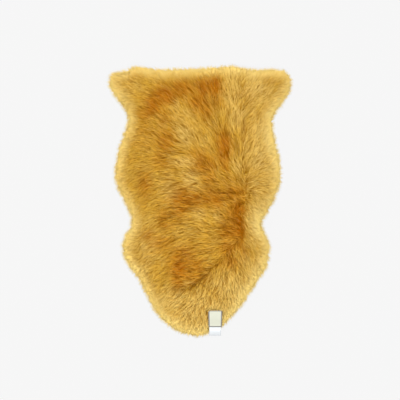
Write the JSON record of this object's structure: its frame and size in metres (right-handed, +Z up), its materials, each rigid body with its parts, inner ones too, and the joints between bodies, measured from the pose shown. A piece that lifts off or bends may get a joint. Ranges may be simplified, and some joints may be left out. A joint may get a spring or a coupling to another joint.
{
  "type": "sheepskin rug",
  "caption": "Single long-wool sheepskin lying flat, wool side up, with flared corners at one end, two waists and a narrow rounded end with a sewn label.",
  "frame": {"origin": "on the floor under the middle of the rug's outline", "axes": "+Y along the skin to its flat flared end, the narrow end is at -Y, +Z up out of the wool"},
  "size_m": [0.6474, 0.9552, 0.0538],
  "materials": {
    "wool": "long curly wool in streaks of honey yellow and orange brown, soft sheen",
    "label_satin": "white satin ribbon",
    "label_cream": "cream woven panel with a narrow grey border"
  },
  "bodies": {
    "root": {"sheepskin": "wool", "edge_label": "label_satin", "label_patch": "label_cream"}
  },
  "joints": []
}
